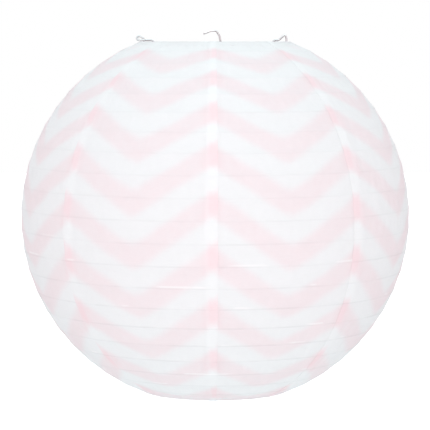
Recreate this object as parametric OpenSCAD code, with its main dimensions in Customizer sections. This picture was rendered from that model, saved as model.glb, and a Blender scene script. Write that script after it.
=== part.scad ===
// Round paper lantern with wire hoops, lapped paper panels and a lift-out wire expander.
// The origin is the seat of the hanging hook, with +Z up and the lantern hanging below it.
// The flat face of the expander lies in the XZ plane. All sizes are in millimetres.

/* [Paper globe] */
// Widest diameter of the paper globe
globe_d = 356; // [300:1:400]
// Height of the whole globe shape over its width
globe_ratio = 0.976; // [0.95:0.002:1]
// Thickness of one sheet of paper
paper_t = 0.2; // [0.1:0.05:0.3]
// Width of the glued lap between two panels, as an angle round the axis
lap_angle = 3.5; // [2:0.5:5]
// Turn of the front lap away from the front of the expander
seam_turn = -0.9; // [-5:0.1:5]

/* [Rings and ribs] */
// Diameter of the wire ring at each opening, measured along the middle of its wire
opening_d = 136; // [130:1:140]
// Diameter of the wire of the two rings
ring_wire_d = 1.8; // [1.4:0.1:2]
// Diameter of the wire of each rib hoop
rib_wire_d = 0.8; // [0.5:0.1:0.9]
// Gap between a wire and the paper that covers it
paper_gap = 0.25; // [0.15:0.05:0.4]

/* [Expander] */
// Diameter of the expander's wire
wire_d = 1.8; // [1.4:0.1:1.8]
// Height of the hook's seat above the middle of the top ring
hook_rise = 10.2; // [9:0.2:14]
// Drop of the crossbar below the middle of the top ring
crossbar_drop = 3.6; // [3:0.1:6]
// Height of the corner curls above the middle of the top ring
curl_rise = 6; // [5.5:0.1:7]
// Reach of the left corner curl from the lantern's axis
curl_reach = 71.6; // [71:0.1:73]
// Distance between the two strands of the doubled hook
strand_gap = 2; // [1.9:0.1:2.4]

/* [Hidden] */
$fn = 32;

paper_colour = [0.97, 0.93, 0.94];
wire_colour = [0.74, 0.75, 0.77];

panel_count = 8;
rib_count = 20;
panel_angle = 360 / panel_count;

// Half axes of the globe, and the ring that closes each opening.
a = globe_d / 2;
b = a * globe_ratio;
ring_r = opening_d / 2;
ring_wire_r = ring_wire_d / 2;
rib_r = rib_wire_d / 2;
wire_r = wire_d / 2;
// Panels 2, 4, 6 and 8 lie on the edges of the others, one sheet further out.
lap_gap = 0.03;
lap_off = paper_t + lap_gap;
top_hem_r = ring_wire_r + 0.05 + paper_t;
hem_r = ring_wire_r + paper_gap + paper_t;
edge_lat = acos((ring_r + 0.42 * hem_r) / a);
ring_z = b * sin(edge_lat) - 0.91 * hem_r;

// Height of the globe's middle in the lantern's frame.
middle_z = -(ring_z + hook_rise);

// Paper follows the ribs: rib 1 is next to the top ring and the last is next to the bottom ring.
function lat(i) = edge_lat * (1 - 2 * i / (rib_count + 1));
function unit(v) = v / norm(v);
function outward(t) = unit([cos(t) / a, sin(t) / b]);
function crest(i, off = 0) = [a * cos(lat(i)), b * sin(lat(i))] + off * outward(lat(i));
function flip(p) = [p[0], -p[1]];

// The sheet leaves each hem along a tangent to the nearest rib's crest.
hem_end = 235;
hem_steps = 10;
function hem_angle(r, to) = let (v = to - [ring_r, ring_z]) atan2(v[1], v[0]) + acos(r / norm(v));
function hem(r, off) = [for (k = [0 : hem_steps])
    let (q0 = hem_angle(r, crest(1, off)), q = q0 + (hem_end - q0) * k / hem_steps)
    [ring_r + r * cos(q), ring_z + r * sin(q)]];
function reversed(list) = [for (k = [len(list) - 1 : -1 : 0]) list[k]];

// One side of the sheet from the top hem to the bottom hem, off outwards from the ribs' crests.
function side(off) = concat(
    reversed(hem(top_hem_r + off, off)),
    [for (i = [1 : rib_count]) crest(i, off)],
    [for (p = hem(hem_r + off, off)) flip(p)]);

function sheet_outline(off) = concat(side(off), reversed(side(off - paper_t)));

// An odd panel spans its share of the circle, and an even one laps over both its neighbours.
module paper_panel(k) {
    over = k % 2 == 0;
    first = -90 + seam_turn + (k - 1) * panel_angle - lap_angle / 2;
    color(paper_colour) translate([0, 0, middle_z])
        rotate([0, 0, first]) rotate_extrude(angle = panel_angle + lap_angle)
            polygon(sheet_outline(over ? lap_off : 0));
}

module hoop(radius, z, d) {
    color(wire_colour) translate([0, 0, middle_z + z])
        rotate_extrude() translate([radius, 0]) circle(d = d);
}

module top_ring() { hoop(ring_r, ring_z, ring_wire_d); }

module bottom_ring() { hoop(ring_r, -ring_z, ring_wire_d); }

// Each rib lies in the crest that it makes in the paper.
module rib(i) {
    c = crest(i, -(paper_t + paper_gap + rib_r));
    hoop(c[0], c[1], rib_wire_d);
}

// One bent wire: straight runs between corners, and an arc of the given radius at each corner.
function bend(p, q, s) = acos(max(-1, min(1, unit(q - p) * unit(s - q))));
function setback(p, q, s, r) = r * tan(bend(p, q, s) / 2);

module run(p, q) {
    v = q - p;
    if (norm(v) > 0.02)
        translate(p) rotate([0, acos(v[2] / norm(v)), atan2(v[1], v[0])])
            cylinder(r = wire_r, h = norm(v));
}

module arc(p, q, s, r) {
    u = unit(q - p);
    w = unit(s - q);
    n = unit(w - (w * u) * u);
    c = q - u * setback(p, q, s, r) + n * r;
    m = cross(-n, u);
    multmatrix([
        [-n[0], u[0], m[0], c[0]],
        [-n[1], u[1], m[1], c[1]],
        [-n[2], u[2], m[2], c[2]],
        [0, 0, 0, 1]])
        rotate_extrude(angle = bend(p, q, s)) translate([r, 0]) circle(r = wire_r);
}

// A bead hardly wider than the wire joins each run to its arc. Its poles lie along the wire.
module bead(p, u) {
    translate(p) rotate([0, acos(u[2]), atan2(u[1], u[0])]) sphere(r = wire_r + 0.02);
}

// path is a list of corners, each with its bend radius; the two ends have none.
module bent_wire(path) {
    n = len(path);
    p = [for (k = path) k[0]];
    back = [for (k = [0 : n - 1]) k == 0 || k == n - 1 ? 0 : setback(p[k - 1], p[k], p[k + 1], path[k][1])];
    union() {
        for (k = [0 : n - 2]) {
            u = unit(p[k + 1] - p[k]);
            run(p[k] + u * back[k], p[k + 1] - u * back[k + 1]);
        }
        for (k = [1 : n - 2]) {
            u = unit(p[k] - p[k - 1]);
            w = unit(p[k + 1] - p[k]);
            arc(p[k - 1], p[k], p[k + 1], path[k][1]);
            bead(p[k] - u * back[k], u);
            if (norm(p[k + 1] - p[k]) - back[k] - back[k + 1] > 0.05)
                bead(p[k] + w * back[k], w);
        }
    }
}

// The expander's heights are counted from the seat of the hook.
ring_h = -hook_rise;
bottom_h = -hook_rise - 2 * ring_z;
bar_h = ring_h - crossbar_drop;
front_y = -strand_gap / 2;
rear_y = strand_gap / 2;
// The legs stand just inside the rings, and each is cut from the curl at the point where it flexes.
notch_gap = 0.8;
notch_r = ring_wire_r + notch_gap + wire_r;
leg_x = ring_r - notch_r;
leg_top_h = ring_h + 1.9;
cut_gap = 0.15;
tail_h = ring_h + top_hem_r + lap_off + 0.15 + wire_r;
curl_h = ring_h + curl_rise;
curl_r = norm([strand_gap, curl_h - tail_h]) / 2;
hook_top = wire_r;
hook_low = hook_top - 2.6;

// The hook is a hairpin: one strand goes up and over to the tip, and the other comes back beside it.
function hook_corners(y) = [
    [[5.9, y, bar_h], 2.2],
    [[4, y, hook_top - 4.7], 8],
    [[1.3, y, hook_top], 3],
    [[-3.6, y, hook_top], 8],
    [[-10, y, hook_low], strand_gap / 2]];

module expander_crossbar() {
    color(wire_colour) bent_wire(concat(
        // Left curl: up from the leg, out over the ring and back along it.
        [[[-leg_x, rear_y, leg_top_h + cut_gap], 0],
         [[-leg_x, rear_y, ring_h + 4], 1.2],
         [[3 - curl_reach, rear_y, curl_h], 1.5],
         [[-curl_reach, rear_y, curl_h], curl_r],
         [[-curl_reach, front_y, tail_h], curl_r],
         [[-57.5, front_y, tail_h], 3],
         [[-52.5, front_y, bar_h], 3]],
        hook_corners(front_y),
        reversed(hook_corners(rear_y)),
        // Right curl: up to a single hump and down into the leg.
        [[[49.5, rear_y, bar_h], 3],
         [[53.7, rear_y, ring_h + 2.2], 3],
         [[58.2, rear_y, ring_h + 2.4], 3],
         [[leg_x - 1, rear_y, curl_h + 2.1], 1.3],
         [[leg_x, rear_y, ring_h + 3.6], 3],
         [[leg_x, rear_y, leg_top_h + cut_gap], 0]]));
}

// A leg has a notch for the top ring, a long straight run and a notch for the bottom ring.
// Each notch is an outward kink that ends in a saddle round the ring.
kink = 4.4;
function leg_corners(x, s) = [
    [[s * x, rear_y, leg_top_h - cut_gap], 0],
    [[s * x, rear_y, ring_h - notch_r * tan(30)], notch_r],
    [[s * (x + kink), rear_y, ring_h - notch_r * tan(30) - kink * tan(30)], 1.2],
    [[s * x, rear_y, ring_h - notch_r * tan(30) - 2 * kink * tan(30)], notch_r],
    [[s * x, rear_y, bottom_h + notch_r * tan(30) + 2 * kink * tan(30)], notch_r],
    [[s * (x + kink), rear_y, bottom_h + notch_r * tan(30) + kink * tan(30)], 1.2],
    [[s * x, rear_y, bottom_h + notch_r * tan(30)], notch_r],
    [[s * x, rear_y, bottom_h - 2.4], 0]];

module expander_left_leg() { color(wire_colour) bent_wire(leg_corners(leg_x, -1)); }

module expander_right_leg() { color(wire_colour) bent_wire(leg_corners(leg_x, 1)); }

top_ring();
bottom_ring();
paper_panel(1);  // paper_panel_1
paper_panel(2);  // paper_panel_2
paper_panel(3);  // paper_panel_3
paper_panel(4);  // paper_panel_4
paper_panel(5);  // paper_panel_5
paper_panel(6);  // paper_panel_6
paper_panel(7);  // paper_panel_7
paper_panel(8);  // paper_panel_8
rib(1);  // rib_01
rib(2);  // rib_02
rib(3);  // rib_03
rib(4);  // rib_04
rib(5);  // rib_05
rib(6);  // rib_06
rib(7);  // rib_07
rib(8);  // rib_08
rib(9);  // rib_09
rib(10);  // rib_10
rib(11);  // rib_11
rib(12);  // rib_12
rib(13);  // rib_13
rib(14);  // rib_14
rib(15);  // rib_15
rib(16);  // rib_16
rib(17);  // rib_17
rib(18);  // rib_18
rib(19);  // rib_19
rib(20);  // rib_20
expander_crossbar();
expander_left_leg();
expander_right_leg();
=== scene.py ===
import math

import bpy
import numpy as np
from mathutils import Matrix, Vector


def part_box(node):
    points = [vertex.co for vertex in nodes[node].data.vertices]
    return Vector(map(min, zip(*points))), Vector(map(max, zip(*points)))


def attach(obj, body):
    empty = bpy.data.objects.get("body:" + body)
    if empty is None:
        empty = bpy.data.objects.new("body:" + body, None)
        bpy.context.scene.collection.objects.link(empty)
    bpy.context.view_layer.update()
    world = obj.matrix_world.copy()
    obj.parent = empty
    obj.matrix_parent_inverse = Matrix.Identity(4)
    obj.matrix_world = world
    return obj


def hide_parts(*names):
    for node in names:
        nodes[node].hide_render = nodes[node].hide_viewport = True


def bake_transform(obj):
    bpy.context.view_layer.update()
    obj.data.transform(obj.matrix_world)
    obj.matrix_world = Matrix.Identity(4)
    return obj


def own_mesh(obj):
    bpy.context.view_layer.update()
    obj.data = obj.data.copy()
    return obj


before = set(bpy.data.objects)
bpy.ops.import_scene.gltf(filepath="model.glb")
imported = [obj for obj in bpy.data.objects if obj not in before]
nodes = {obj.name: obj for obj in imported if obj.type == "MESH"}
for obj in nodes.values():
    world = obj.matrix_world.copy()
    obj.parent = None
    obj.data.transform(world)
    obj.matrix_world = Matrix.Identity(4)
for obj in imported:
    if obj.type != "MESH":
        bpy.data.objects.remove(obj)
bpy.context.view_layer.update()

MM = 0.001

# ---------------------------------------------------------------- design sizes, in millimetres, as in the CAD model
A = 178.0                       # half width of the globe
B = A * 0.976                   # half height of the ellipse it follows
RING_R = 68.0                   # middle of the ring's wire
RING_WIRE_R = 0.9
RIB_R = 0.4
PAPER = 0.2
GAP = 0.25
RIBS = 20
PANELS = 8
SPAN = 360.0 / PANELS
LAP = 3.5
SEAM = -0.9
WIRE_R = 0.9

_hem = RING_WIRE_R + GAP + PAPER
EDGE_LAT = math.acos((RING_R + 0.42 * _hem) / A)
top_lo, top_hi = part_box("top_ring")
bot_lo, bot_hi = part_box("bottom_ring")
TOP_Z = (top_lo.z + top_hi.z) / 2 / MM
BOT_Z = (bot_lo.z + bot_hi.z) / 2 / MM
MID_Z = (TOP_Z + BOT_Z) / 2
RING_Z = (TOP_Z - BOT_Z) / 2
leg_lo, leg_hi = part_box("expander_right_leg")
LEG_X = leg_lo.x / MM + WIRE_R
LEG_TOP = leg_hi.z / MM + 0.15


# ---------------------------------------------------------------- camera
centre = Vector((-0.06, 0.0, MID_Z + 1.0)) * MM
elevation = math.radians(4.66)
distance = 1.978
cam_data = bpy.data.cameras.new("camera")
cam = bpy.data.objects.new("camera", cam_data)
bpy.context.scene.collection.objects.link(cam)
back = Vector((0.0, -math.cos(elevation), math.sin(elevation)))
cam.location = centre + back * distance
cam.rotation_mode = "QUATERNION"
cam.rotation_quaternion = (-back).to_track_quat("-Z", "Y")
cam_data.lens = 179.8
cam_data.sensor_width = 36.0
cam_data.clip_start = 0.05
cam_data.clip_end = 200.0
bpy.context.scene.camera = cam


# ---------------------------------------------------------------- node helpers
class Tree:
    """A material's node tree with short calls for the usual nodes."""

    def __init__(self, name):
        self.mat = bpy.data.materials.new(name)
        self.mat.use_nodes = True
        self.nt = self.mat.node_tree
        self.nt.nodes.clear()
        self.out = self.nt.nodes.new("ShaderNodeOutputMaterial")

    def link(self, src, dst):
        self.nt.links.new(src, dst)

    def put(self, socket, value):
        if isinstance(value, bpy.types.NodeSocket):
            self.link(value, socket)
        else:
            socket.default_value = value

    def math(self, op, a, b=None, c=None, clamp=False):
        n = self.nt.nodes.new("ShaderNodeMath")
        n.operation = op
        n.use_clamp = clamp
        self.put(n.inputs[0], a)
        if b is not None:
            self.put(n.inputs[1], b)
        if c is not None:
            self.put(n.inputs[2], c)
        return n.outputs[0]

    def attr(self, name, vector=False):
        n = self.nt.nodes.new("ShaderNodeAttribute")
        n.attribute_type = "GEOMETRY"
        n.attribute_name = name
        return n.outputs["Vector"] if vector else n.outputs["Fac"]

    def coords(self):
        return self.nt.nodes.new("ShaderNodeTexCoord").outputs["Object"]

    def mapping(self, vector, scale=(1, 1, 1), rotation=(0, 0, 0), location=(0, 0, 0)):
        n = self.nt.nodes.new("ShaderNodeMapping")
        self.put(n.inputs["Vector"], vector)
        n.inputs["Scale"].default_value = scale
        n.inputs["Rotation"].default_value = rotation
        n.inputs["Location"].default_value = location
        return n.outputs["Vector"]

    def noise(self, vector, scale, detail=3.0, roughness=0.5, distortion=0.0):
        n = self.nt.nodes.new("ShaderNodeTexNoise")
        self.put(n.inputs["Vector"], vector)
        n.inputs["Scale"].default_value = scale
        n.inputs["Detail"].default_value = detail
        n.inputs["Roughness"].default_value = roughness
        n.inputs["Distortion"].default_value = distortion
        return n.outputs["Fac"]

    def voronoi(self, vector, scale, feature="F1", output="Distance"):
        n = self.nt.nodes.new("ShaderNodeTexVoronoi")
        n.feature = feature
        self.put(n.inputs["Vector"], vector)
        n.inputs["Scale"].default_value = scale
        return n.outputs[output]

    def ramp(self, value, lo, hi, to_lo=0.0, to_hi=1.0, smooth=True):
        n = self.nt.nodes.new("ShaderNodeMapRange")
        n.interpolation_type = "SMOOTHSTEP" if smooth else "LINEAR"
        n.clamp = True
        self.put(n.inputs["Value"], value)
        n.inputs["From Min"].default_value = lo
        n.inputs["From Max"].default_value = hi
        n.inputs["To Min"].default_value = to_lo
        n.inputs["To Max"].default_value = to_hi
        return n.outputs["Result"]

    def mix(self, fac, a, b):
        n = self.nt.nodes.new("ShaderNodeMix")
        n.data_type = "RGBA"
        self.put(n.inputs[0], fac)
        self.put(n.inputs[6], a)
        self.put(n.inputs[7], b)
        return n.outputs[2]

    def scale(self, colour, value):
        n = self.nt.nodes.new("ShaderNodeVectorMath")
        n.operation = "SCALE"
        self.put(n.inputs[0], colour)
        self.put(n.inputs["Scale"], value)
        return n.outputs[0]

    def bump(self, height, strength, distance, normal=None):
        n = self.nt.nodes.new("ShaderNodeBump")
        n.inputs["Strength"].default_value = strength
        n.inputs["Distance"].default_value = distance
        self.put(n.inputs["Height"], height)
        if normal is not None:
            self.link(normal, n.inputs["Normal"])
        return n.outputs["Normal"]


# ---------------------------------------------------------------- the paper: thin rice paper with a pale printed chevron
STRIPE_PITCH = 46.0             # distance between two stripes along the sheet
STRIPE_SLOPE = 0.70             # how fast a stripe climbs from the middle of its sheet to the laps
STRIPE_ROUND = 5.0              # how round its lowest point is
STRIPE_SLACK = {(8, -1): 0.62, (1, 1): 0.62}   # two halves where the print climbs less
STRIPE_START = {1: 23.5, 2: 16.0, 3: 20.0, 4: 25.0, 5: 18.0, 6: 22.0, 7: 15.0, 8: 23.5}


def paper_material():
    t = Tree("chevron_rice_paper")
    co = t.attr("paper_co", vector=True)      # flat position on the sheet, in millimetres
    own = t.attr("paper_phase")
    other = t.attr("paper_phase_under")
    across = t.math("ABSOLUTE", t.attr("paper_across"))
    rib = t.attr("paper_rib")

    # The print: a soft-edged stripe that wanders a little, as ink does on open paper.
    wander = t.math("MULTIPLY", t.math("SUBTRACT", t.noise(co, 0.035, 2.0), 0.5), 0.10)
    fray = t.math("MULTIPLY", t.math("SUBTRACT", t.noise(co, 0.45, 3.0, 0.65), 0.5), 0.075)
    shift = t.math("ADD", wander, fray)

    def stripe(phase):
        p = t.math("MULTIPLY", t.math("ADD", phase, shift), 2 * math.pi)
        return t.ramp(t.math("COSINE", p), -0.62, 0.78)

    lap = t.ramp(across, SPAN / 2 - LAP / 2 - 0.12, SPAN / 2 - LAP / 2 + 0.12)
    # The print on the sheet below shows through softly, and both prints stop short of the top hem.
    below = t.ramp(across, SPAN / 2 - LAP / 2 - 0.2, SPAN / 2 - LAP / 2 + 1.6)
    bare = t.ramp(rib, 0.25, 1.05, 0.12, 1.0)
    blot = t.ramp(t.noise(co, 0.11, 4.0, 0.6), 0.3, 0.7, 0.86, 1.0)
    # Glue has drawn the dye together beside each lap.
    wet = t.ramp(t.attr("paper_edge"), 3.5, 12.5, 1.45, 1.0)
    first = t.math("MULTIPLY", stripe(own), t.math("MULTIPLY", t.math("MULTIPLY", blot, wet), PINK_FIRST))
    second = t.math("MULTIPLY", t.math("MULTIPLY", stripe(other), below), PINK_SECOND)
    ink = t.math("SUBTRACT", 1.0, t.math("MULTIPLY", t.math("SUBTRACT", 1.0, first), t.math("SUBTRACT", 1.0, second)))
    ink = t.math("MULTIPLY", ink, bare)

    # Long fibres that lie in two directions, and the cloudy look of thin paper against the light.
    def fibres(angle, seed):
        v = t.mapping(co, scale=(0.11, 1.5, 1.0), rotation=(0, 0, angle), location=(seed, seed * 1.7, seed * 0.3))
        n = t.noise(v, 1.0, 2.0, 0.5, 0.6)
        ridge = t.math("SUBTRACT", 1.0, t.math("ABSOLUTE", t.math("MULTIPLY_ADD", n, 2.0, -1.0)))
        return t.math("POWER", ridge, 22.0)

    hair = t.math("MAXIMUM", fibres(0.5, 3.1), fibres(-0.75, 9.4))
    cloud = t.noise(co, 0.16, 5.0, 0.62)
    grain = t.noise(co, 2.3, 3.0, 0.6)

    # Along each of the hoops the sheet is darkened slightly: partly the glue line, partly painted shade of the wire and
    # the crease there.
    beside = t.math("SUBTRACT", rib, t.math("ROUND", rib))
    nearest = t.math("ABSOLUTE", beside)
    hoop = t.ramp(nearest, 0.018, 0.055, 1.0, 0.0)
    hoop = t.math("MULTIPLY", hoop, t.ramp(t.noise(t.mapping(co, scale=(0.5, 1.0, 1.0)), 0.06, 2.0), 0.40, 0.60, 0.22, 1.0))
    # Painted highlight: short bright streaks just above the lower hoops, painted where their creases would catch the
    # light.
    streak = t.ramp(t.noise(t.mapping(co, scale=(0.5, 1.0, 1.0), location=(31.0, 7.0, 5.0)), 0.05, 2.0), 0.59, 0.66)
    painted_glint = t.math("MULTIPLY", t.ramp(t.math("ABSOLUTE", t.math("ADD", beside, 0.075)), 0.025, 0.06, 1.0, 0.0), streak)
    painted_glint = t.math("MULTIPLY", painted_glint, t.ramp(rib, 9.5, 13.0))
    # The painted shade is weak on the upper hoops and stronger on the lower ones, as if lit from above.
    hoop = t.math("MULTIPLY", hoop, t.ramp(rib, 6.0, 16.0, 0.22, 1.15))

    dim = t.math("MULTIPLY_ADD", cloud, 0.030, 0.985)
    dim = t.math("MULTIPLY", dim, t.math("MULTIPLY_ADD", hair, -0.022, 1.0))
    # Glue line and painted shade along the hoops darken the colour here.
    dim = t.math("MULTIPLY", dim, t.math("MULTIPLY_ADD", hoop, -0.042, 1.0))
    dim = t.math("MULTIPLY", dim, t.math("MULTIPLY_ADD", grain, 0.012, 0.994))

    colour = t.mix(ink, PAPER_WHITE, PAPER_PINK)
    colour = t.scale(colour, dim)
    # The painted highlight lightens the colour towards near-white.
    colour = t.mix(t.math("MULTIPLY", painted_glint, 0.6), colour, (0.975, 0.955, 0.958, 1.0))

    height = t.math("MULTIPLY_ADD", hair, 0.5, t.math("MULTIPLY_ADD", grain, 0.7, t.math("MULTIPLY", cloud, 0.8)))
    normal = t.bump(height, 0.22, 0.00012)

    p = t.nt.nodes.new("ShaderNodeBsdfPrincipled")
    t.link(colour, p.inputs["Base Color"])
    t.link(t.math("MULTIPLY_ADD", grain, 0.16, 0.76), p.inputs["Roughness"])
    p.inputs["Specular IOR Level"].default_value = 0.18
    t.link(normal, p.inputs["Normal"])
    tr = t.nt.nodes.new("ShaderNodeBsdfTranslucent")
    t.link(colour, tr.inputs["Color"])
    t.link(normal, tr.inputs["Normal"])
    m = t.nt.nodes.new("ShaderNodeMixShader")
    # A lap is two sheets thick and lets less light through.
    t.link(t.math("MULTIPLY_ADD", lap, -0.10, 0.36), m.inputs[0])
    t.link(p.outputs[0], m.inputs[1])
    t.link(tr.outputs[0], m.inputs[2])
    t.link(m.outputs[0], t.out.inputs["Surface"])
    return t.mat


PAPER_WHITE = (0.895, 0.892, 0.895, 1.0)
PAPER_PINK = (0.930, 0.690, 0.722, 1.0)
PINK_FIRST = 0.32
PINK_SECOND = 0.34


def wire_material(name, dark, light, rough, spangle, streak, painted_highlight_tip=0.0):
    """Zinc-coated steel wire: a mottled grey skin with drawing marks."""
    t = Tree(name)
    co = t.coords()
    cell = t.voronoi(co, spangle, output="Color")
    sep = t.nt.nodes.new("ShaderNodeSeparateColor")
    t.link(cell, sep.inputs[0])
    patch = sep.outputs[0]
    cloud = t.noise(co, spangle * 0.35, 4.0, 0.6)
    draw = t.noise(t.mapping(co, scale=(1.0, 1.0, 0.12)), streak, 3.0, 0.6)
    pit = t.ramp(t.noise(co, streak * 0.6, 2.0, 0.5), 0.63, 0.74)
    fac = t.math("ADD", t.math("MULTIPLY", patch, 0.45), t.math("MULTIPLY", cloud, 0.55))
    fac = t.math("SUBTRACT", fac, t.math("MULTIPLY", pit, 0.35), clamp=True)
    colour = t.mix(fac, dark, light)
    if painted_highlight_tip:
        # Painted highlight: the hook's open end, left of the riser, is painted much brighter than the rest, standing in
        # for the light it reflects.
        place = t.nt.nodes.new("ShaderNodeSeparateXYZ")
        t.link(co, place.inputs[0])
        end = t.math("MULTIPLY", t.ramp(place.outputs[0], -0.0035, 0.0015, 1.0, 0.0), t.ramp(place.outputs[0], -0.030, -0.020, 0.0, 1.0))
        end = t.math("MULTIPLY", end, t.ramp(place.outputs[2], -0.007, -0.004, 0.0, 1.0))
        colour = t.mix(t.math("MULTIPLY", end, painted_highlight_tip), colour, (0.93, 0.935, 0.94, 1))
    p = t.nt.nodes.new("ShaderNodeBsdfPrincipled")
    t.link(colour, p.inputs["Base Color"])
    p.inputs["Metallic"].default_value = 1.0
    t.link(t.math("MULTIPLY_ADD", cloud, 0.22, t.math("MULTIPLY_ADD", pit, 0.15, rough)), p.inputs["Roughness"])
    height = t.math("ADD", draw, t.math("MULTIPLY", pit, -0.6))
    t.link(t.bump(height, 0.35, 0.00004), p.inputs["Normal"])
    t.link(p.outputs[0], t.out.inputs["Surface"])
    return t.mat


paper = paper_material()
ring_steel = wire_material("zinc_ring_wire", (0.17, 0.175, 0.18, 1), (0.42, 0.43, 0.44, 1), 0.26, 900.0, 2600.0)
rib_steel = wire_material("thin_hoop_wire", (0.30, 0.30, 0.295, 1), (0.58, 0.58, 0.57, 1), 0.30, 1500.0, 4200.0)
# The expander's wire carries the painted highlight on the hook's open end.
expander_steel = wire_material("zinc_expander_wire", (0.46, 0.464, 0.47, 1), (0.86, 0.865, 0.87, 1), 0.38, 800.0, 2400.0, 0.75)


# ---------------------------------------------------------------- the sheets of paper
def lat(i):
    return EDGE_LAT * (1 - 2 * i / (RIBS + 1))


def outward(t):
    v = np.array([math.cos(t) / A, math.sin(t) / B])
    return v / np.linalg.norm(v)


def crest(i):
    t = lat(i)
    return np.array([A * math.cos(t), B * math.sin(t)])


HEM_R = RING_WIRE_R + 0.05 + PAPER
ring_c = np.array([RING_R, RING_Z])
_v = crest(1) - ring_c
TANGENT = math.atan2(_v[1], _v[0]) + math.acos(HEM_R / np.linalg.norm(_v))

# Points along one meridian from the top ring to the bottom one, on the sheet's outer face.
U_STEPS = [0.0, 0.035, 0.12, 0.26, 0.42, 0.5, 0.58, 0.74, 0.88, 0.965]


def main_rows():
    on_ring = ring_c + HEM_R * np.array([math.cos(TANGENT), math.sin(TANGENT)])
    n_ring = np.array([math.cos(TANGENT), math.sin(TANGENT)])
    flip = np.array([1.0, -1.0])
    stops = [on_ring] + [crest(i) for i in range(1, RIBS + 1)] + [on_ring * flip]
    normals = [n_ring] + [outward(lat(i)) for i in range(1, RIBS + 1)] + [n_ring * flip]
    rows = []
    for j in range(RIBS + 1):
        for u in U_STEPS:
            rows.append((stops[j] * (1 - u) + stops[j + 1] * u, normals[j] * (1 - u) + normals[j + 1] * u, j, u))
    rows.append((stops[-1], normals[-1], RIBS, 1.0))
    p = np.array([r[0] for r in rows])
    n = np.array([r[1] for r in rows])
    n /= np.linalg.norm(n, axis=1)[:, None]
    gap = np.array([r[2] for r in rows])
    u = np.array([r[3] for r in rows])
    return p, n, gap, u


def hem_rows():
    """The hem goes over the ring's wire, back under it and along the inner face of the sheet as a glued flap."""
    pts, nrm = [], []
    steps = 13
    for k in range(steps + 1):
        q = TANGENT + math.pi * k / steps
        d = np.array([math.cos(q), math.sin(q)])
        pts.append(ring_c + HEM_R * d)
        nrm.append(d)
    along = np.array([math.sin(TANGENT), -math.cos(TANGENT)])
    up = np.array([math.cos(TANGENT), math.sin(TANGENT)])
    start = pts[-1]
    # It closes on the inner face within 4 mm and is glued for 3 mm more.
    rise = 2 * HEM_R - PAPER - 0.06
    for s in (0.7, 1.5, 2.4, 3.3, 4.2, 5.3, 6.6, 7.6):
        w = min(1.0, s / 4.2)
        w = w * w * (3 - 2 * w)
        pts.append(start + along * s + up * (rise - PAPER) * w)
        slope = (rise - PAPER) * 6 * min(1.0, s / 4.2) * (1 - min(1.0, s / 4.2)) / 4.2
        t = along + up * slope
        t /= np.linalg.norm(t)
        nrm.append(np.array([-t[1], t[0]]) * -1.0)
    p = np.array(pts)
    n = np.array(nrm)
    # Normals continue from the arc: away from the wire, which is below the flap.
    for k in range(steps + 1, len(pts)):
        if n[k] @ (-up) < 0:
            n[k] = -n[k]
    return p, n


P_MAIN, N_MAIN, GAP_I, GAP_U = main_rows()
step = np.linalg.norm(np.diff(P_MAIN, axis=0), axis=1)
ARC = np.concatenate([[0.0], np.cumsum(step)])
ARC = ARC[-1] / 2 - ARC          # positive above the middle
P_HEM, N_HEM = hem_rows()
HEM_ARC = np.concatenate([[0.0], np.cumsum(np.linalg.norm(np.diff(P_HEM, axis=0), axis=1))])

rng = np.random.RandomState(4107)
# Fine upright wrinkles between two hoops, each span with its own, as whole waves round the globe.
WAVES = []
for j in range(RIBS + 1):
    span = []
    for count, size in ((13, 0.055), (23, 0.06), (37, 0.06), (52, 0.06), (71, 0.05), (88, 0.045), (109, 0.035), (131, 0.03)):
        span.append((count + rng.randint(-4, 5), size * rng.uniform(0.5, 1.3), rng.uniform(0, 2 * math.pi), rng.uniform(-1.6, 1.6)))
    WAVES.append(span)
DIP = [0.09 + 0.08 * rng.rand() for _ in range(RIBS + 1)]
FOLD = [0.10 + 0.12 * rng.rand() for _ in range(RIBS + 1)]


def relief(azimuth, gap, u, across_deg):
    """How far the sheet stands off the straight line between two hoops, in millimetres. azimuth is in radians."""
    out = np.zeros((len(gap), len(azimuth)))
    # Laps are stiffer than a single sheet.
    edge = np.abs(np.abs(across_deg) - SPAN / 2)
    soft = np.clip((edge - 1.2) / 4.0, 0, 1)
    soft = 0.25 + 0.75 * soft * soft * (3 - 2 * soft)
    for r in range(len(gap)):
        j, v = gap[r], u[r]
        w = np.zeros_like(azimuth)
        for count, size, phase, lean in WAVES[j]:
            w += size * np.sin(count * azimuth + phase + lean * (v - 0.5))
        bell = math.sin(math.pi * v) ** 1.1
        sag = -DIP[j] * 4 * v * (1 - v)
        fold = -FOLD[j] * (1 - abs(2 * v - 1)) ** 1.4 * (0.75 + 0.25 * np.sin(3 * azimuth + j))
        out[r] = sag + fold + w * soft * bell * 1.25
    return out


def lift(across_deg, over):
    """An even sheet rises onto its neighbours at its two laps."""
    if not over:
        return np.zeros_like(across_deg)
    e = np.clip((np.abs(across_deg) - 17.6) / 2.7, 0, 1)
    return 0.23 * e * e * (3 - 2 * e)


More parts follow.
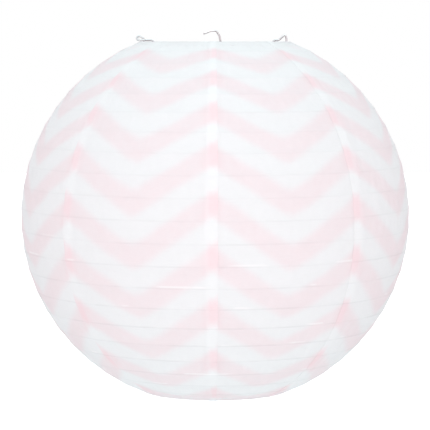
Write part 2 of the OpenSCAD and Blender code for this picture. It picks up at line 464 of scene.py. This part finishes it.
def closed_sheet(name, outer, inner, data, smooth_angle=50):
    """outer and inner are rows x columns x 3 in millimetres, and data holds one value or vector for each point of the grid."""
    rows, cols = outer.shape[:2]
    verts = np.concatenate([outer.reshape(-1, 3), inner.reshape(-1, 3)]) * MM
    base = rows * cols
    idx = np.arange(base).reshape(rows, cols)
    a, b, c, d = idx[:-1, :-1], idx[:-1, 1:], idx[1:, 1:], idx[1:, :-1]
    top = np.stack([a, d, c, b], -1).reshape(-1, 4)
    low = np.stack([a, b, c, d], -1).reshape(-1, 4) + base
    rim = np.concatenate([idx[0, :], idx[1:, -1], idx[-1, -2::-1], idx[-2:0:-1, 0]])
    nxt = np.roll(rim, -1)
    side = np.stack([rim, nxt, nxt + base, rim + base], -1)
    faces = np.concatenate([top, low, side])
    mesh = bpy.data.meshes.new(name)
    mesh.vertices.add(len(verts))
    mesh.vertices.foreach_set("co", verts.astype(np.float32).ravel())
    mesh.loops.add(faces.size)
    mesh.loops.foreach_set("vertex_index", faces.astype(np.int32).ravel())
    mesh.polygons.add(len(faces))
    mesh.polygons.foreach_set("loop_start", np.arange(0, faces.size, 4, dtype=np.int32))
    mesh.update(calc_edges=True)
    mesh.validate()
    mesh.polygons.foreach_set("use_smooth", np.ones(len(faces), dtype=bool))
    for key, value in data.items():
        both = np.concatenate([value.reshape(base, -1)] * 2).astype(np.float32)
        if both.shape[1] == 1:
            mesh.attributes.new(key, "FLOAT", "POINT").data.foreach_set("value", both.ravel())
        else:
            mesh.attributes.new(key, "FLOAT_VECTOR", "POINT").data.foreach_set("vector", both.ravel())
    mesh.set_sharp_from_angle(angle=math.radians(smooth_angle))
    mesh.materials.append(paper)
    obj = bpy.data.objects.new(name, mesh)
    bpy.context.scene.collection.objects.link(obj)
    return obj


def sweep(profile, normal, azimuth, off):
    """Turns meridian points (r, z from the globe's middle) round the axis. off is rows x columns, along the normal."""
    r = profile[:, 0:1] + normal[:, 0:1] * off
    z = profile[:, 1:2] + normal[:, 1:2] * off
    return np.stack([r * np.cos(azimuth), r * np.sin(azimuth), z + MID_Z], -1)


def sheet_data(k, profile, arc, rib, across_deg):
    phi = np.radians(across_deg)[None, :]
    r = profile[:, 0:1]
    x = r * phi
    under = r * (math.radians(SPAN) - np.abs(phi))
    neighbour = {s: STRIPE_START[(k - 1 + s) % PANELS + 1] for s in (-1, 1)}
    c2 = np.where(across_deg < 0, neighbour[-1], neighbour[1])[None, :]
    arc = arc[:, None] + 0 * x
    slope = np.where(across_deg < 0, STRIPE_SLACK.get((k, -1), STRIPE_SLOPE), STRIPE_SLACK.get((k, 1), STRIPE_SLOPE))[None, :]
    slope = np.where(np.abs(across_deg)[None, :] < 0.01, STRIPE_SLOPE, slope)
    own = (arc - STRIPE_START[k] - slope * (np.sqrt(x * x + STRIPE_ROUND ** 2) - STRIPE_ROUND / 2)) / STRIPE_PITCH
    left, right = (k - 2) % PANELS + 1, k % PANELS + 1
    slope2 = np.where(across_deg < 0, STRIPE_SLACK.get((left, 1), STRIPE_SLOPE), STRIPE_SLACK.get((right, -1), STRIPE_SLOPE))[None, :]
    other = (arc - c2 - slope2 * (under - STRIPE_ROUND / 2)) / STRIPE_PITCH
    co = np.stack([x, arc, np.full_like(x, 60.0 * k)], -1)
    return {
        "paper_phase": own,
        "paper_phase_under": other,
        "paper_across": across_deg[None, :] + 0 * x,
        "paper_edge": r * (math.radians(SPAN / 2) - np.abs(phi)),
        "paper_rib": rib[:, None] + 0 * x,
        "paper_co": co,
    }


half = (SPAN + LAP) / 2
COLUMNS = 77
sheets = {}
for k in range(1, PANELS + 1):
    over = k % 2 == 0
    mid = -90 + SEAM + (k - 0.5) * SPAN
    across = np.linspace(-half, half, COLUMNS)
    azimuth = np.radians(mid + across)
    up = lift(across, over)[None, :]
    d = relief(azimuth, GAP_I, GAP_U, across)
    outer = sweep(P_MAIN, N_MAIN, azimuth, d + up)
    inner = sweep(P_MAIN, N_MAIN, azimuth, d + up - PAPER)
    rib = GAP_I + GAP_U
    body = closed_sheet(f"paper_panel_{k}_sheet", outer, inner, sheet_data(k, P_MAIN, ARC, rib, across))
    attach(body, "root")
    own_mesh(body)
    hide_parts(f"paper_panel_{k}")

    for end, rider in (("top", "root"), ("bottom", "bottom_ring")):
        s = 1.0 if end == "top" else -1.0
        p = P_HEM * np.array([1.0, s])
        n = N_HEM * np.array([1.0, s])
        hem_arc = s * (ARC[0] + HEM_ARC)
        wall = np.ones((len(p), 1))
        hem_outer = sweep(p, n, azimuth, up * wall)
        hem_inner = sweep(p, n, azimuth, (up - PAPER) * wall)
        ribc = np.full(len(p), 0.3 if end == "top" else 20.5)
        if end == "top":
            hem_outer, hem_inner = hem_outer[::-1], hem_inner[::-1]
            p, hem_arc = p[::-1], hem_arc[::-1]
        hem = closed_sheet(f"paper_panel_{k}_{end}_hem", hem_outer, hem_inner, sheet_data(k, p, hem_arc, ribc, across))
        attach(hem, rider)


# ---------------------------------------------------------------- the bend where each leg flexes under its curl
def tube(name, path, radius, sides=20):
    """A closed round bar along path, in millimetres, with a radius at each point."""
    path = np.array(path, float)
    n = len(path)
    tan = np.gradient(path, axis=0)
    tan /= np.linalg.norm(tan, axis=1)[:, None]
    ref = np.array([0.0, 1.0, 0.0])
    verts, faces = [], []
    for i in range(n):
        e1 = ref - (ref @ tan[i]) * tan[i]
        e1 /= np.linalg.norm(e1)
        e2 = np.cross(tan[i], e1)
        for s in range(sides):
            q = 2 * math.pi * s / sides
            verts.append(path[i] + radius[i] * (math.cos(q) * e1 + math.sin(q) * e2))
    for i in range(n - 1):
        for s in range(sides):
            s2 = (s + 1) % sides
            faces.append((i * sides + s, i * sides + s2, (i + 1) * sides + s2, (i + 1) * sides + s))
    verts.append(path[0])
    verts.append(path[-1])
    for s in range(sides):
        s2 = (s + 1) % sides
        faces.append((n * sides, s2, s))
        faces.append((n * sides + 1, (n - 1) * sides + s, (n - 1) * sides + s2))
    mesh = bpy.data.meshes.new(name)
    mesh.from_pydata([tuple(v * MM) for v in verts], [], faces)
    mesh.update()
    mesh.polygons.foreach_set("use_smooth", np.ones(len(mesh.polygons), dtype=bool))
    mesh.set_sharp_from_angle(angle=math.radians(50))
    obj = bpy.data.objects.new(name, mesh)
    bpy.context.scene.collection.objects.link(obj)
    return obj


for side, s in (("left", -1), ("right", 1)):
    zs = np.linspace(LEG_TOP + 0.95, LEG_TOP - 0.95, 9)
    rad = [WIRE_R + 0.002, WIRE_R + 0.02, WIRE_R + 0.03, WIRE_R + 0.035, WIRE_R + 0.035, WIRE_R + 0.035, WIRE_R + 0.03, WIRE_R + 0.02, WIRE_R + 0.002]
    bar = tube(f"expander_{side}_bend", [(s * LEG_X, 1.0, z) for z in zs], rad)
    bar.data.materials.append(expander_steel)
    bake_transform(bar)


# ---------------------------------------------------------------- the wires keep their CAD shape
def paint(node, material):
    obj = nodes[node]
    obj.data.materials.clear()
    obj.data.materials.append(material)


paint("top_ring", ring_steel)
paint("bottom_ring", ring_steel)
for i in range(1, RIBS + 1):
    paint(f"rib_{i:02d}", rib_steel)
for name in ("expander_crossbar", "expander_left_leg", "expander_right_leg"):
    paint(name, expander_steel)


# ---------------------------------------------------------------- studio
DOME = 1.52
DOME_LOW = (0.797, 0.630, 0.647, 1.0)
DOME_HIGH = (0.803, 0.985, 1.0, 1.0)
FLAGS = (0.600, 0.490, 0.510, 1.0)
KEY = 25.0
FILL = 4.5
world = bpy.data.worlds.new("studio")
world.use_nodes = True
wt = world.node_tree
bg = wt.nodes["Background"]
bg.inputs["Color"].default_value = (1.0, 1.0, 1.0, 1.0)
bg.inputs["Strength"].default_value = 1.0
dome = wt.nodes.new("ShaderNodeBackground")
where = wt.nodes.new("ShaderNodeTexCoord")
split = wt.nodes.new("ShaderNodeSeparateXYZ")
wt.links.new(where.outputs["Generated"], split.inputs[0])
rise = wt.nodes.new("ShaderNodeMapRange")
rise.inputs["From Min"].default_value = 0.15
rise.inputs["From Max"].default_value = 0.85
wt.links.new(split.outputs["Z"], rise.inputs["Value"])
tint = wt.nodes.new("ShaderNodeMix")
tint.data_type = "RGBA"
tint.inputs[6].default_value = DOME_LOW
tint.inputs[7].default_value = DOME_HIGH
wt.links.new(rise.outputs["Result"], tint.inputs[0])
# Grey flags stand all round the tent at table height and shade the lantern's edges.
level = wt.nodes.new("ShaderNodeMath")
level.operation = "ABSOLUTE"
wt.links.new(split.outputs["Z"], level.inputs[0])
flags = wt.nodes.new("ShaderNodeMapRange")
flags.inputs["From Max"].default_value = 0.5
wt.links.new(level.outputs[0], flags.inputs["Value"])
shade = wt.nodes.new("ShaderNodeMix")
shade.data_type = "RGBA"
shade.inputs[6].default_value = FLAGS
shade.inputs[7].default_value = (1.0, 1.0, 1.0, 1.0)
wt.links.new(flags.outputs["Result"], shade.inputs[0])
both = wt.nodes.new("ShaderNodeMix")
both.data_type = "RGBA"
both.blend_type = "MULTIPLY"
both.inputs[0].default_value = 1.0
wt.links.new(tint.outputs[2], both.inputs[6])
wt.links.new(shade.outputs[2], both.inputs[7])
wt.links.new(both.outputs[2], dome.inputs["Color"])
dome.inputs["Strength"].default_value = DOME
ray = wt.nodes.new("ShaderNodeLightPath")
pick = wt.nodes.new("ShaderNodeMixShader")
wt.links.new(ray.outputs["Is Camera Ray"], pick.inputs[0])
wt.links.new(dome.outputs[0], pick.inputs[1])
wt.links.new(bg.outputs[0], pick.inputs[2])
wt.links.new(pick.outputs[0], wt.nodes["World Output"].inputs["Surface"])
bpy.context.scene.world = world
bpy.context.scene.view_settings.view_transform = "Standard"
bpy.context.scene.view_settings.look = "None"

floor_mesh = bpy.data.meshes.new("floor")
ring = [(40 * math.cos(2 * math.pi * i / 64), 40 * math.sin(2 * math.pi * i / 64), -2.60) for i in range(64)]
floor_mesh.from_pydata(ring, [], [tuple(range(64))])
floor = bpy.data.objects.new("floor", floor_mesh)
bpy.context.scene.collection.objects.link(floor)
ft = Tree("pale_floor")
fp = ft.nt.nodes.new("ShaderNodeBsdfPrincipled")
fc = ft.mix(ft.noise(ft.coords(), 3.0, 4.0), (0.92, 0.905, 0.905, 1), (0.94, 0.925, 0.925, 1))
ft.link(fc, fp.inputs["Base Color"])
fp.inputs["Roughness"].default_value = 0.9
fp.inputs["Specular IOR Level"].default_value = 0.1
fp.inputs["Emission Color"].default_value = (1, 1, 1, 1)
# The floor glows only for the camera, so that it reads as a plain pale sweep and the lantern's underside stays soft.
seen = ft.nt.nodes.new("ShaderNodeLightPath").outputs["Is Camera Ray"]
ft.link(ft.math("MULTIPLY", seen, 0.32), fp.inputs["Emission Strength"])
ft.link(fp.outputs[0], ft.out.inputs["Surface"])
floor_mesh.materials.append(ft.mat)


def softbox(name, location, target, size, power, colour=(1, 1, 1)):
    data = bpy.data.lights.new(name, "AREA")
    data.shape = "SQUARE"
    data.size = size
    data.energy = power
    data.color = colour
    obj = bpy.data.objects.new(name, data)
    bpy.context.scene.collection.objects.link(obj)
    obj.location = location
    obj.rotation_mode = "QUATERNION"
    obj.rotation_quaternion = (Vector(target) - Vector(location)).to_track_quat("-Z", "Y")
    return obj


middle = (0, 0, MID_Z * MM)
softbox("key", (-0.3, -3.05, 0.3), middle, 1.8, KEY, (1.0, 0.98, 0.98))
softbox("fill", (1.4, -2.6, 0.1), middle, 1.6, FILL)
